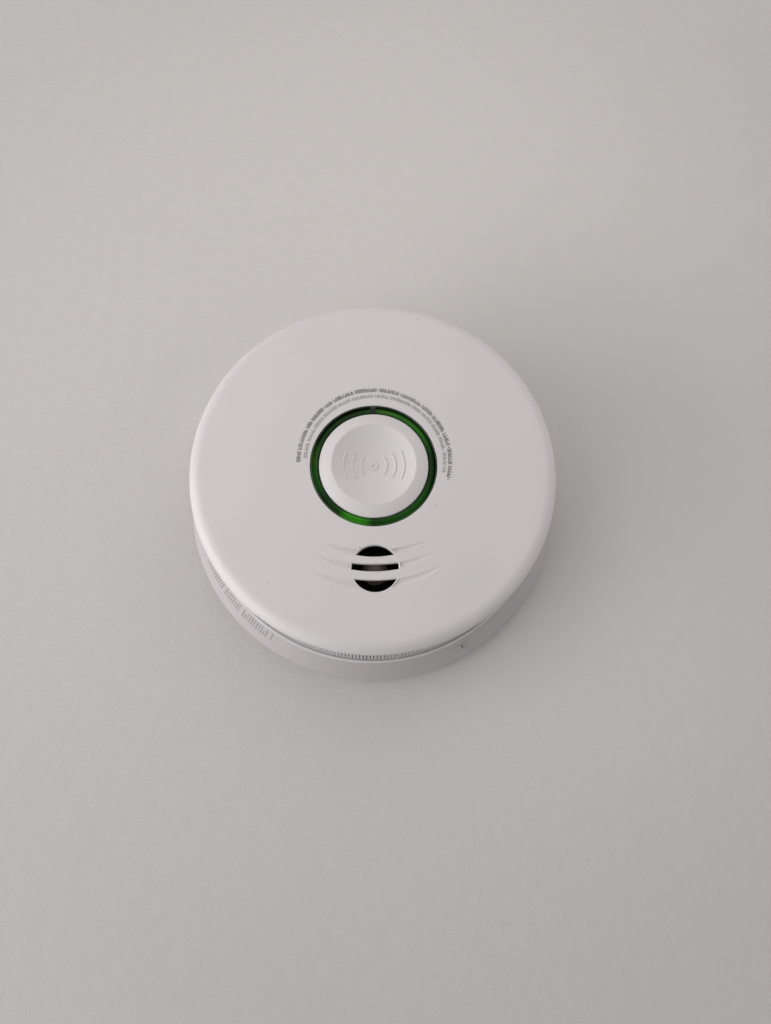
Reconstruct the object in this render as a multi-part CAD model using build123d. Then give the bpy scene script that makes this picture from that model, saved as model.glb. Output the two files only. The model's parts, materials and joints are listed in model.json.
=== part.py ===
"""Round wall or ceiling smoke and carbon monoxide alarm with a lit ring, a dished test
button, a sounder grille and a twist-lock mounting plate.

Row frame: origin at the centre of the mounting plate's rear face, +Z out of the wall,
+Y up when the alarm is on a wall. The sounder grille is on the -Y side. Millimetres.
"""

from build123d import *

import math
import os

os.makedirs("parts", exist_ok=True)

# ---------------------------------------------------------------- shared dimensions
PLATE_T = 2.0                # mounting plate web
FLOOR_Z0, FLOOR_Z1 = 5.0, 7.0           # housing floor
BOSSES = [(56, 0), (0, 56), (-56, 0), (0, -56)]                     # housing screws
STANDOFFS = [(-12.0, 45.5), (12.0, 45.5), (-24.0, -4.0), (24.0, -4.0)]   # board screws

DIAGONALS = (45, 135, 225, 315)         # bayonet hooks, and the plain gaps in the vent band
HOOK_RI, HOOK_RO = 50.6, 55.4
HOOK_POST_ARC = 4.0          # degrees
TWIST = 15.0                 # bayonet turn, degrees
SLIDE_A, SLIDE_R = 60.0, 40.0           # activation slider, angle and radius

WELL_R = 22.2                # opening for the ring and button
WELL_Z0, WELL_Z1 = 31.8, 33.4           # well floor
RING_RI, RING_RO = 19.35, 22.05
RING_Z0 = 37.0
RING_MID_R = (RING_RI + RING_RO) / 2
LEG_R = 1.0                  # light legs under the ring
LEG_ANGLES = (50, 175, 256, 320)
CLIP_ANGLES = (90, 210, 330)            # button hooks

GRILLE_Y = -36.75            # centre of the sounder opening
GRILLE_R = 8.0

PCB_Z0, PCB_Z1 = 14.0, 15.6
UNDER_BOARD = PCB_Z0 - 0.05  # top of the bodies below the board
PIN_Z = PCB_Z1 + 0.02        # foot of pins and small parts on the board
BODY_Z = PCB_Z1 + 0.05       # foot of larger bodies on the board

CELL_R, CELL_L = 8.5, 34.5
CELL_X, CELL_Y, CELL_Z = 38.0, -18.0, 17.2
INLET_X, INLET_Y = 0.0, 12.0            # mains inlet centre
DIAL_X, DIAL_Y = -19.2, -21.5           # deactivation dial centre

SIN45 = math.sin(math.pi / 4)


# ---------------------------------------------------------------- helpers
def cyl(radius, z0, z1, x=0.0, y=0.0):
    return Pos(x, y, (z0 + z1) / 2) * Cylinder(radius, z1 - z0)


def tube(outer, inner, z0, z1, x=0.0, y=0.0):
    return cyl(outer, z0, z1, x, y) - cyl(inner, z0 - 1, z1 + 1, x, y)


def box(x0, x1, y0, y1, z0, z1):
    return Pos((x0 + x1) / 2, (y0 + y1) / 2, (z0 + z1) / 2) * Box(x1 - x0, y1 - y0, z1 - z0)


def block(half_x, half_y, z0, z1, x=0.0, y=0.0):
    """Box centred on (x, y)."""
    return box(x - half_x, x + half_x, y - half_y, y + half_y, z0, z1)


def spoke(angle, r0, r1, half_width, z0, z1):
    """Radial bar from r0 to r1."""
    return Rot(0, 0, angle) * box(r0, r1, -half_width, half_width, z0, z1)


def y_cyl(radius, length, x, y, z):
    """Cylinder along Y, centred on (x, y, z)."""
    return Pos(x, y, z) * Rot(90, 0, 0) * Cylinder(radius, length)


def x_cyl(radius, length, x, z):
    """Cylinder along X, centred on (x, 0, z)."""
    return Pos(x, 0, z) * Rot(0, 90, 0) * Cylinder(radius, length)


def revolve_outline(points, angle=360.0):
    """Solid turned about Z from a closed (radius, z) outline, starting on +X."""
    face = make_face(Polyline(*[(r, 0, z) for r, z in points], close=True))
    return revolve(face, axis=Axis.Z, revolution_arc=angle)


def sector(r0, r1, z0, z1, start, end):
    """Piece of a ring between two angles."""
    return Rot(0, 0, start) * revolve_outline([(r0, z0), (r1, z0), (r1, z1), (r0, z1)], end - start)


def lines(*points):
    """Straight edges through (radius, z) points."""
    return [Line((r0, 0, z0), (r1, 0, z1)) for (r0, z0), (r1, z1) in zip(points, points[1:])]


def arc(*points):
    """One curved edge, as a list, through three (radius, z) points."""
    return [ThreePointArc(*[(r, 0, z) for r, z in points])]


def turn(edges):
    return revolve(make_face(edges), axis=Axis.Z)


def sweep_round(path, radius):
    section = Plane(origin=path @ 0, z_dir=path % 0) * Circle(radius)
    return sweep(section, path=path)


def polar(angle, radius):
    return radius * math.cos(math.radians(angle)), radius * math.sin(math.radians(angle))


def gap_to_diagonal(angle):
    return min(abs((angle - diagonal + 180) % 360 - 180) for diagonal in DIAGONALS)


def union(shapes):
    total, *rest = shapes
    for shape in rest:
        total = total + shape
    return total


def save(name, shape):
    # a boolean may give a plain list of solids, which is gathered into one part
    if not isinstance(shape, (Part, Compound, Solid)):
        shape = Part() + shape
    export_step(shape, f"parts/{name}.step")


LIGHTS = [polar(angle, RING_MID_R) for angle in LEG_ANGLES]
SLIDE_POST = polar(SLIDE_A, SLIDE_R)

# ---------------------------------------------------------------- mounting plate
PLATE_R = 70.5               # just inside the skirt's outline
PLATE_BEVEL = 0.3
TRIM_H = 3.2                 # height of the trim rim above the wall
TRIM_RND = 1.5
CABLE_R = 27.0               # cable opening
COLLAR_H = 1.6               # collar round the cable opening
BOX_PITCH_X = 88.9           # 3.5 in junction box screws
BOX_PITCH_Y = 69.85          # 2.75 in junction box screws
SLOT_W = 4.6
SLOT_LX, SLOT_LY = 10.0, 7.6
WINDOW_ANGLES = (22, 112, 158, 202, 248, 292, 338)  # none near 68, where the post stands
RIB_Z0 = PLATE_T - 0.2       # ribs and posts start inside the web
HOOK_LIP_Z, HOOK_TOP_Z = 7.15, 8.4


def mounting_plate():
    collar_z = PLATE_T + COLLAR_H
    round_z = TRIM_H - TRIM_RND
    plate = turn(
        lines((CABLE_R, 0), (PLATE_R - PLATE_BEVEL, 0), (PLATE_R, PLATE_BEVEL), (PLATE_R, round_z))
        + arc((PLATE_R, round_z),
              (PLATE_R - TRIM_RND * (1 - SIN45), round_z + TRIM_RND * SIN45),
              (PLATE_R - TRIM_RND, TRIM_H))
        + lines((PLATE_R - TRIM_RND, TRIM_H), (68.6, TRIM_H), (68.3, PLATE_T),
                (CABLE_R + 1.8, PLATE_T), (CABLE_R + 1.6, collar_z), (CABLE_R, collar_z),
                (CABLE_R, 0)))
    # slots for the junction box screws, on X and on Y
    for side in (1, -1):
        plate -= Pos(side * BOX_PITCH_X / 2, 0, 0) * extrude(SlotOverall(SLOT_LX, SLOT_W), 4)
        plate -= Pos(0, side * BOX_PITCH_Y / 2, 0) * Rot(0, 0, 90) * extrude(
            SlotOverall(SLOT_LY, SLOT_W), 4)
    # weight-saving windows between the screw slots and the hooks
    for angle in WINDOW_ANGLES:
        plate -= sector(31.5, 45.5, -1, 3, angle - 10, angle + 10)
    # stiffening rings and spokes on the front of the web
    plate += tube(48.9, 47.9, RIB_Z0, PLATE_T + 1.0)
    plate += tube(62.0, 60.8, RIB_Z0, PLATE_T + 1.0)
    for angle in range(0, 360, 15):
        if gap_to_diagonal(angle) > 12:
            plate += spoke(angle, 61.5, 68.5, 0.5, RIB_Z0, PLATE_T + 0.9)
    # bayonet hooks: a post through the housing floor with a lip over it
    for angle in DIAGONALS:
        plate += sector(HOOK_RI, HOOK_RO, RIB_Z0, HOOK_TOP_Z, angle, angle + HOOK_POST_ARC)
        plate += sector(HOOK_RI, HOOK_RO, HOOK_LIP_Z, HOOK_TOP_Z,
                        angle + HOOK_POST_ARC - 0.5, angle + 11)
    # post that drives the activation slider
    plate += cyl(2.6, RIB_Z0, 3.2, *SLIDE_POST) + cyl(1.2, 2.5, 6.0, *SLIDE_POST)
    # raised arrowheads that show the top and the turning direction
    arrow = extrude(make_face(Polyline((-2.2, 0), (2.2, 0), (0, 3.6), close=True)), 0.6)
    plate += Pos(0, 55, PLATE_T - 0.1) * arrow
    for angle in (20, 200):
        x, y = polar(angle, 65)
        plate += Pos(x, y, PLATE_T - 0.1) * Rot(0, 0, angle) * Pos(0, -1.6, 0) * arrow
    return plate


save("mounting_plate", mounting_plate())

# ---------------------------------------------------------------- rear housing
SKIRT_R = 71.0               # skirt at its foot, the widest part
SKIRT_Z0 = 3.5
SKIRT_BEVEL = 0.3
CONE_Z0 = SKIRT_Z0 + 0.9     # foot of the skirt's conical face
SHOULDER_R, SHOULDER_Z = 65.5, 11.1     # top of the conical skirt
CONE_Z1 = SHOULDER_Z - 0.1
LEDGE_R0, LEDGE_R1, LEDGE_Z = 64.38, 65.3, 11.28    # flat ledge at the top of the skirt
SPIGOT_RO, SPIGOT_RI, SPIGOT_Z = 61.9, 60.2, 13.2
INSIDE_Z = FLOOR_Z1 - 0.5    # features inside start within the floor
CHEVRON_A = -61.5            # angle of the chevron on the skirt


def housing_shell():
    return turn(
        lines((0, FLOOR_Z0), (62.2, FLOOR_Z0), (62.2, 9.2), (63.9, 9.2), (69.0, SKIRT_Z0 + 0.7),
              (69.0, SKIRT_Z0), (SKIRT_R - SKIRT_BEVEL, SKIRT_Z0),
              (SKIRT_R, SKIRT_Z0 + SKIRT_BEVEL), (SKIRT_R, CONE_Z0), (SHOULDER_R, CONE_Z1))
        # small rounded edge of the ledge
        + arc((SHOULDER_R, CONE_Z1), (SHOULDER_R - 0.05, SHOULDER_Z + 0.09), (LEDGE_R1, LEDGE_Z))
        + lines((LEDGE_R1, LEDGE_Z), (LEDGE_R0, LEDGE_Z), (LEDGE_R0, SHOULDER_Z),
                (SPIGOT_RO, SHOULDER_Z), (SPIGOT_RO, SPIGOT_Z), (SPIGOT_RI, SPIGOT_Z),
                (SPIGOT_RI, FLOOR_Z1), (0, FLOOR_Z1), (0, FLOOR_Z0)))


def rear_housing():
    housing = housing_shell()
    # bayonet windows
    for angle in DIAGONALS:
        housing -= sector(HOOK_RI - 0.6, HOOK_RO + 0.6, 4, 7.5,
                          angle - TWIST - 0.6, angle + HOOK_POST_ARC + 0.6)
    # screw bosses and their counterbores
    for x, y in BOSSES:
        housing += cyl(4.0, INSIDE_Z, 11.0, x, y)
        housing -= cyl(1.65, 4, 12, x, y)
        housing -= cyl(3.1, 4, 7.6, x, y)
    # board standoffs
    for x, y in STANDOFFS:
        housing += cyl(3.0, INSIDE_Z, PCB_Z0 - 0.02, x, y)
        housing -= cyl(1.15, 8.2, 15, x, y)
    # window for the mains inlet, with a raised collar inside
    housing += block(15.2, 9.2, INSIDE_Z, 9.0, INLET_X, INLET_Y)
    housing -= block(13.5, 7.5, 4, 10, INLET_X, INLET_Y)
    # slot for the activation slider
    housing -= sector(SLIDE_R - 1.9, SLIDE_R + 1.9, 4, 8, SLIDE_A - TWIST - 3.8, SLIDE_A + 3.8)
    # hole for the deactivation dial
    housing += cyl(6.4, INSIDE_Z, FLOOR_Z1, DIAL_X, DIAL_Y)
    housing -= cyl(4.28, 4, 8, DIAL_X, DIAL_Y)
    # battery cradles: two ribs a side with a round seat, and strap anchors
    for side in (1, -1):
        x = side * CELL_X
        for y0 in (-10.0, -29.0):
            rib = box(x - 7.6, x + 7.6, y0, y0 + 2.0, INSIDE_Z, 13.0)
            housing += rib & cyl(49.4, 0, 30)
        for offset_x in (-10.4, 10.4):
            housing += block(1.0, 3.4, INSIDE_Z, 10.5, x + offset_x, CELL_Y)
        housing -= y_cyl(CELL_R + 0.1, 50, x, CELL_Y, CELL_Z)
    # shallow recess for the rating label
    housing -= sector(30.0, 47.0, 4.8, 5.15, 96, 134)
    # raised chevron on the skirt that lines up with the locked position
    slope = math.degrees(math.atan2(SKIRT_R - SHOULDER_R, CONE_Z1 - CONE_Z0))
    chevron = (Rot(0, 0, CHEVRON_A)
               * Pos((SKIRT_R + SHOULDER_R) / 2 + 0.37, 0, (SKIRT_Z0 + 0.8 + SHOULDER_Z) / 2 - 0.3)
               * Rot(0, -slope, 0))
    for lean in (-24, 24):
        housing += chevron * Rot(lean, 0, 0) * Pos(0, 0, 1.2) * Box(0.6, 0.46, 3.4)
    return housing


save("rear_housing", rear_housing())

# ---------------------------------------------------------------- front cover
COVER_R = 65.0
COVER_RND = 4.8              # rim rounding
COVER_RIM_Z = 36.8           # where the rounding starts
RIM_LOW_Z = 34.7
RIM_BEVEL = 0.35
DOME_Z = 43.0                # height of the face at the well
DOME_MID_R = 42.0            # middle point of the dome's arc
FACE_R = COVER_R - COVER_RND            # outer edge of the domed face
FACE_EDGE_Z = COVER_RIM_Z + COVER_RND
DOME_SAG = DOME_Z - FACE_EDGE_Z
DOME_SPAN = FACE_R ** 2 - WELL_R ** 2
BAND_RO, BAND_RI, BAND_Z0 = 64.3, 62.4, 11.3        # vent band
BAND_BEVEL = 0.25
WELL_OUTER_R = WELL_R + 1.7
WELL_HOLE_R = 3.3            # hole in the well floor for the button's stem
WELL_RND = 0.3               # rounding of the opening's edge

VENT_N = 320                 # smoke inlet slots round the band
VENT_W = 0.32
VENT_Z0, VENT_Z1 = 13.9, 33.3

GRILLE_BACK_Z = 40.9         # back of the grille bars
GRILLE_HALF = 9.0            # half width of the strips, past the opening's edge
GRILLE_BEVEL = 0.3
# openings of the grille: top edge's y at the middle, rise of its ends, then the bottom edge's
GRILLE_STRIPS = (
    (-26.0, 0.0, -32.75, 1.35),
    (-35.3, 0.55, -37.75, 0.95),
    (-40.75, 0.7, -48.0, 0.0),
)
GROOVE_DEPTH = 0.62
# grooves beside the grille: lowest y, arc radius, reach along X, radius of the round cutter
GROOVES = (
    (-31.4, 45.0, 19.0, 0.95),
    (-36.45, 45.0, 20.4, 1.25),
    (-42.4, 43.5, 22.6, 1.8),
)


def dome_z(radius):
    return DOME_Z - (radius * radius - WELL_R * WELL_R) / DOME_SPAN * DOME_SAG


def cover_shell():
    lip_r = WELL_R + WELL_RND
    lip_z = dome_z(WELL_R) - WELL_RND
    return turn(
        # gentle dome from the well to the rim rounding
        arc((lip_r, dome_z(lip_r)), (DOME_MID_R, dome_z(DOME_MID_R)), (FACE_R, FACE_EDGE_Z))
        + arc((FACE_R, FACE_EDGE_Z),
              (FACE_R + COVER_RND * SIN45, COVER_RIM_Z + COVER_RND * SIN45),
              (COVER_R, COVER_RIM_Z))
        + lines((COVER_R, COVER_RIM_Z), (COVER_R, RIM_LOW_Z + RIM_BEVEL),
                (COVER_R - RIM_BEVEL, RIM_LOW_Z), (BAND_RO, RIM_LOW_Z),
                (BAND_RO, BAND_Z0 + BAND_BEVEL), (BAND_RO - BAND_BEVEL, BAND_Z0),
                (BAND_RI, BAND_Z0), (BAND_RI, 34.2), (59.6, 38.9), (24.4, 40.3),
                (WELL_OUTER_R, 39.6), (WELL_OUTER_R, WELL_Z0), (WELL_HOLE_R, WELL_Z0),
                (WELL_HOLE_R, WELL_Z1), (WELL_R, WELL_Z1), (WELL_R, lip_z))
        + arc((WELL_R, lip_z),
              (WELL_R + WELL_RND * (1 - SIN45), lip_z + WELL_RND * SIN45),
              (lip_r, dome_z(lip_r))))


def grille_opening(y_top, rise_top, y_bottom, rise_bottom):
    """Prism between two smile-shaped arcs, trimmed to the round opening."""
    half = GRILLE_HALF

    def across(y, rise):
        if rise == 0:
            return Line((-half, y), (half, y))
        return ThreePointArc((-half, y + rise), (0, y), (half, y + rise))

    def upright(x):
        return Line((x, y_top + rise_top), (x, y_bottom + rise_bottom))

    outline = [across(y_top, rise_top), upright(half), across(y_bottom, rise_bottom),
               upright(-half)]
    disc = cyl(GRILLE_R, 33, 45, 0, GRILLE_Y)
    return disc & Pos(0, 0, 33) * extrude(make_face(outline), 12)


def grille_bevel(opening):
    """Tapered cutter round one opening, laid on the sloping face."""
    top = opening.faces().sort_by(Axis.Z)[-1]
    outline = offset(top, GRILLE_BEVEL, kind=Kind.INTERSECTION).face()
    flat = Pos(0, 0, -outline.center().Z) * outline
    bevel = extrude(flat, -2 * GRILLE_BEVEL, taper=45)
    tilt = math.degrees(math.atan(2 * abs(GRILLE_Y) * DOME_SAG / DOME_SPAN))
    on_face = Pos(0, GRILLE_Y, dome_z(abs(GRILLE_Y)) + 0.02) * Rot(tilt, 0, 0)
    return on_face * Pos(0, -GRILLE_Y, 0) * bevel


def face_groove(y_low, radius, reach, cutter_r):
    """Shallow arc groove that runs out from the grille on both sides."""
    rise = radius - math.sqrt(radius ** 2 - reach ** 2)
    tilt = math.degrees(math.asin(GROOVE_DEPTH / rise))
    lowest = Pos(0, y_low, dome_z(abs(y_low)) + cutter_r - GROOVE_DEPTH)
    cutter = lowest * Rot(tilt, 0, 0) * Pos(0, radius, 0) * Torus(radius, cutter_r)
    groove = cutter & box(-reach, reach, y_low - 3, y_low + rise + 3, 38, 46)
    return groove - cyl(GRILLE_R + 0.55, 30, 46, 0, GRILLE_Y)


def front_cover():
    cover = cover_shell()
    # collar behind the sounder grille, and the screw bosses
    cover += tube(12.3, 9.75, 37.02, 40.6, 0, GRILLE_Y)
    cover -= cyl(9.62, 36.0, GRILLE_BACK_Z, 0, GRILLE_Y)
    for x, y in BOSSES:
        cover += cyl(3.4, 11.2, 39.5, x, y)
        cover -= cyl(1.5, 11.0, 22.0, x, y)
    # ribs that stiffen the face from inside
    for angle in (20, 70, 110, 160, 200, 235, 305, 340):
        cover += spoke(angle, WELL_R + 1.0, 60.5, 0.5, 37.4, 39.4)
    openings = [grille_opening(*strip) for strip in GRILLE_STRIPS]
    for opening in openings:
        cover -= opening
    for opening in openings:
        cover -= grille_bevel(opening)
    for groove in GROOVES:
        cover -= face_groove(*groove)
    # holes in the well floor for the light legs, and slots for the button hooks
    for x, y in LIGHTS:
        cover -= cyl(LEG_R + 0.25, 30, 34, x, y)
    for angle in CLIP_ANGLES:
        cover -= spoke(angle, 13.9, 15.95, 2.4, 30, 34.5)
    # smoke inlet slots
    angles = [(k + 0.5) * 360.0 / VENT_N for k in range(VENT_N)]
    cover -= [spoke(angle, 61.4, 66.0, VENT_W / 2, VENT_Z0, VENT_Z1)
              for angle in angles if gap_to_diagonal(angle) >= 2.4]
    return cover


save("front_cover", front_cover())

# ---------------------------------------------------------------- light ring
LIP_RI = RING_RO - 0.45
LIP_Z = 42.9                 # outer lip, just under the face
LIP_SIDE_Z = LIP_Z - 0.18
VALLEY_R, VALLEY_Z = LIP_RI - 0.08, 41.35           # groove inside the lip
CREST_Z = 42.4               # crown of the lens
KEY_W = 2.1                  # flat key across the ring at the top


def light_ring():
    ring = turn(
        lines((RING_RI, RING_Z0), (RING_RO, RING_Z0), (RING_RO, LIP_SIDE_Z))
        + arc((RING_RO, LIP_SIDE_Z), ((RING_RO + LIP_RI) / 2, LIP_Z), (LIP_RI, LIP_SIDE_Z))
        + lines((LIP_RI, LIP_SIDE_Z), (VALLEY_R, VALLEY_Z))
        + arc((VALLEY_R, VALLEY_Z), (20.45, CREST_Z - 0.06), (RING_RI + 0.25, CREST_Z - 0.03))
        + arc((RING_RI + 0.25, CREST_Z - 0.03), (RING_RI + 0.07, CREST_Z - 0.12),
              (RING_RI, CREST_Z - 0.3))
        + lines((RING_RI, CREST_Z - 0.3), (RING_RI, RING_Z0)))
    for x, y in LIGHTS:
        ring += cyl(LEG_R, 17.6, RING_Z0 + 0.5, x, y)
    key = box(-KEY_W / 2, KEY_W / 2, 19, 23, VALLEY_Z - 0.8, LIP_Z - 0.12)
    ring += key & tube(RING_RO - 0.1, RING_RI + 0.05, 38, 44)
    return ring


def ring_carrier():
    """Carrier under the ring, with feet that stand on the well floor."""
    carrier = tube(RING_RO - 0.05, RING_RI + 0.05, 35.4, 36.9)
    for x, y in LIGHTS:
        carrier -= cyl(LEG_R + 0.2, 34, 38, x, y)
    for angle in (15, 105, 195, 285):
        carrier += cyl(0.9, WELL_Z1 + 0.02, 35.6, *polar(angle, RING_MID_R))
    return carrier


save("light_ring", light_ring())
save("ring_carrier", ring_carrier())

# ---------------------------------------------------------------- test button
BTN_R = 19.1
BTN_WALL = 1.6
BTN_Z0, BTN_EDGE_Z, BTN_TOP_Z = 35.6, 42.8, 44.1
DISH_R, DISH_DEPTH = 14.65, 3.2
DISH_SPHERE_R = (DISH_R ** 2 + DISH_DEPTH ** 2) / (2 * DISH_DEPTH)
DISH_CENTRE_Z = BTN_TOP_Z - DISH_DEPTH + DISH_SPHERE_R
STEM_R, STEM_Z0 = 2.5, 21.45
HUB_R, HUB_Z0 = 7.8, 39.0


def dish_z(radius):
    return DISH_CENTRE_Z - math.sqrt(DISH_SPHERE_R ** 2 - radius * radius)


def test_button():
    brow_r = DISH_R + 0.35
    inner_r = BTN_R - BTN_WALL
    button = turn(
        arc((0, dish_z(0)), (DISH_R * 0.5, dish_z(DISH_R * 0.5)), (DISH_R, BTN_TOP_Z))
        + lines((DISH_R, BTN_TOP_Z), (brow_r, BTN_TOP_Z))
        + arc((brow_r, BTN_TOP_Z), (17.0, BTN_TOP_Z - 0.6), (BTN_R - 0.4, BTN_EDGE_Z))
        + arc((BTN_R - 0.4, BTN_EDGE_Z), (BTN_R - 0.1, BTN_EDGE_Z - 0.22),
              (BTN_R, BTN_EDGE_Z - 0.6))
        + lines((BTN_R, BTN_EDGE_Z - 0.6), (BTN_R, BTN_Z0), (inner_r, BTN_Z0), (inner_r, 40.9),
                (HUB_R, 40.6), (HUB_R, HUB_Z0), (STEM_R, HUB_Z0), (STEM_R, STEM_Z0),
                (0, STEM_Z0), (0, dish_z(0))))
    # hooks through the well floor
    for angle in CLIP_ANGLES:
        button += (spoke(angle, 14.2, 15.6, 1.9, 29.6, 41.3)
                   + spoke(angle, 15.4, 16.8, 1.9, 29.6, 31.5))
    # guide ring for the return spring
    button += tube(7.2, 6.2, 37.6, 39.2)
    return button


save("test_button", test_button())

# return spring, between the well floor and the button
SPRING_PATH = Helix(pitch=1.28, height=5.0, radius=4.6, center=(0, 0, WELL_Z1 + 0.32))
save("button_spring", sweep_round(SPRING_PATH, 0.28))


# ---------------------------------------------------------------- test switch
def test_switch_body():
    body = block(3.0, 3.0, PIN_Z, 19.4)
    body -= cyl(1.76, 16.4, 20)
    for x in (-2.95, 2.95):
        for y in (-2.0, 2.0):
            body += block(0.3, 0.35, PIN_Z, 16.4, x, y)
    return body


save("test_switch_body", test_switch_body())
save("test_switch_plunger", cyl(1.7, 17.8, 21.4))

# ---------------------------------------------------------------- circuit board
PCB_R = 54.0


def circuit_board():
    board = cyl(PCB_R, PCB_Z0, PCB_Z1)
    # notches round the battery cells
    for x0, x1 in ((28.0, 60.0), (-60.0, -28.0)):
        board -= box(x0, x1, -60, 1.8, 10, 20)
    for x, y in BOSSES:
        board -= cyl(4.6, 10, 20, x, y)
    for x, y in STANDOFFS:
        board -= cyl(1.3, 10, 20, x, y)
    return board


def cross_screws(places, shank, head, cross):
    """shank and head are (radius, z0, z1); cross is (half length, half width, z0, z1)."""
    half_l, half_w, z0, z1 = cross
    return union(
        cyl(*shank, x, y) + cyl(*head, x, y)
        - (block(half_l, half_w, z0, z1, x, y) + block(half_w, half_l, z0, z1, x, y))
        for x, y in places)


save("circuit_board", circuit_board())
save("board_screws", cross_screws(
    STANDOFFS, shank=(1.0, 9.0, 15.7), head=(2.2, PIN_Z, 17.1), cross=(1.5, 0.28, 16.4, 18)))
save("housing_screws", cross_screws(
    BOSSES, shank=(1.35, 7.3, 19.0), head=(2.8, 5.3, 7.55), cross=(1.9, 0.35, 4, 6.3)))
save("status_leds", union(
    block(1.6, 1.4, PIN_Z, 16.7, x, y) + cyl(1.1, 16.5, 17.4, x, y) for x, y in LIGHTS))

# ---------------------------------------------------------------- optical smoke chamber
CHAMBER = Pos(-31.5, 21.5, 0)           # the chamber's pieces are built round its own axis
BEAM_Z = 21.6
EMITTER_A, DIODE_A = 210, 330
VANE_R, VANE_LEAN = 12.6, 38
CHAMBER_CAP_R = 16.4


def chamber_base():
    base = CHAMBER * cyl(16.6, BODY_Z, 17.4)
    for angle in range(10, 370, 20):
        if angle not in (EMITTER_A, DIODE_A):
            place = CHAMBER * Rot(0, 0, angle) * Pos(VANE_R, 0, 0) * Rot(0, 0, VANE_LEAN)
            base += place * block(2.7, 0.45, 17.2, 26.9)
    # bored holders for the emitter and the photodiode
    for angle in (EMITTER_A, DIODE_A):
        base += CHAMBER * spoke(angle, 4.2, 10.4, 3.4, 17.2, 25.6)
        base -= CHAMBER * Rot(0, 0, angle) * x_cyl(2.65, 12, 7, BEAM_Z)
    return base


def chamber_cap():
    cap = cyl(CHAMBER_CAP_R, 27.1, 28.6) + tube(CHAMBER_CAP_R, 15.95, 25.6, 27.3)
    for angle in range(0, 360, 20):
        cap += spoke(angle, 6.0, 15.4, 0.4, 28.4, 29.0)
    return CHAMBER * cap


def insect_screen():
    screen = tube(15.85, 15.6, 17.45, 27.05)
    screen -= [spoke(angle, 14.8, 17, 1.0, 18.3, 26.2) for angle in range(5, 360, 10)]
    return CHAMBER * screen


def optical_part(angle):
    """Round-nosed emitter or photodiode, facing the chamber's axis."""
    body = x_cyl(2.5, 4.8, 7.4, BEAM_Z)
    lens = Pos(5.0, 0, BEAM_Z) * Sphere(2.5)
    flange = x_cyl(2.55, 1.0, 10.3, BEAM_Z)
    legs = union(block(0.25, 0.25, PCB_Z1 + 1.9, 21.8, 11.05, y) for y in (-1.25, 1.25))
    return CHAMBER * Rot(0, 0, angle) * (body + lens + flange + legs)


save("chamber_base", chamber_base())
save("chamber_cap", chamber_cap())
save("insect_screen", insect_screen())
save("infrared_emitter", optical_part(EMITTER_A))
save("photodiode", optical_part(DIODE_A))

# ---------------------------------------------------------------- carbon monoxide cell
CO_X, CO_Y = CO_CENTRE = (30.0, 24.0)
CO_CAP_R = 10.6

save("co_cell", cyl(10.0, 17.0, 28.2, *CO_CENTRE) + cyl(10.5, 17.0, 18.2, *CO_CENTRE))
save("co_cell_cap", cyl(CO_CAP_R, 28.25, 29.6, *CO_CENTRE)
     + tube(CO_CAP_R, 10.1, 25.4, 28.4, *CO_CENTRE) - cyl(1.2, 28, 31, *CO_CENTRE))
save("co_cell_pins", union(
    cyl(0.6, PIN_Z, 16.98, CO_X + x, CO_Y + y) for x, y in ((-6, 0), (6, 0), (0, 6))))

# ---------------------------------------------------------------- sounder
SOUNDER_R, SOUNDER_BORE_R = 12.6, 11.3
SOUNDER_Z0, SOUNDER_Z1 = 19.2, 36.0
NECK_RO, NECK_RI, NECK_Z = 9.5, 8.1, 40.85          # neck up to the grille
DISC_R = 11.2                # piezo plate and back cap
# radius, z: up the outside, over the neck, then down the bore past an inner step
SOUNDER_OUTLINE = [
    (SOUNDER_R, SOUNDER_Z0), (SOUNDER_R, SOUNDER_Z1), (NECK_RO, SOUNDER_Z1), (NECK_RO, NECK_Z),
    (NECK_RI, NECK_Z), (NECK_RI, SOUNDER_Z1), (4.9, SOUNDER_Z1), (4.5, 35.6), (4.5, 35.0),
    (SOUNDER_BORE_R, 35.0), (SOUNDER_BORE_R, 34.25), (10.4, 34.25), (10.4, 33.4),
    (SOUNDER_BORE_R, 33.4), (SOUNDER_BORE_R, SOUNDER_Z0),
]


def sounder_housing():
    sounder = Pos(0, GRILLE_Y, 0) * revolve_outline(SOUNDER_OUTLINE)
    for angle in (30, 150, 270):
        x, y = polar(angle, (SOUNDER_R + SOUNDER_BORE_R) / 2)
        sounder += cyl(0.55, PIN_Z, 19.6, x, y + GRILLE_Y)
    return sounder


save("sounder_housing", sounder_housing())
save("sounder_back_cap", cyl(DISC_R, 19.25, 20.6, 0, GRILLE_Y) - cyl(1.2, 18, 22, 7, GRILLE_Y))
save("piezo_plate", cyl(DISC_R, 34.3, 34.55, 0, GRILLE_Y))
save("piezo_ceramic", cyl(7.5, 34.02, 34.27, 0, GRILLE_Y))
save("sounder_gasket", tube(12.3, 9.62, 36.02, 37.0, 0, GRILLE_Y))

# ---------------------------------------------------------------- sealed lithium cells
CELL_END_Y = CELL_Y + CELL_L / 2        # +Y end of the cells


def battery_cell(side):
    x = side * CELL_X
    can = y_cyl(CELL_R, CELL_L - 1.6, x, CELL_Y, CELL_Z)
    return can + y_cyl(3.2, 1.0, x, CELL_END_Y - 0.5, CELL_Z)


def battery_strap(side):
    """Half hoop over a cell, with straight legs down to the anchors."""
    x = side * CELL_X
    strap = (y_cyl(CELL_R + 1.3, 6.0, x, CELL_Y, CELL_Z)
             - y_cyl(CELL_R + 0.12, 7.0, x, CELL_Y, CELL_Z))
    strap -= block(14, 6, 0, CELL_Z, x, CELL_Y)
    for offset_x in (-9.21, 9.21):
        strap += block(0.56, 3, 10.6, CELL_Z + 0.1, x + offset_x, CELL_Y)
    return strap


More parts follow.
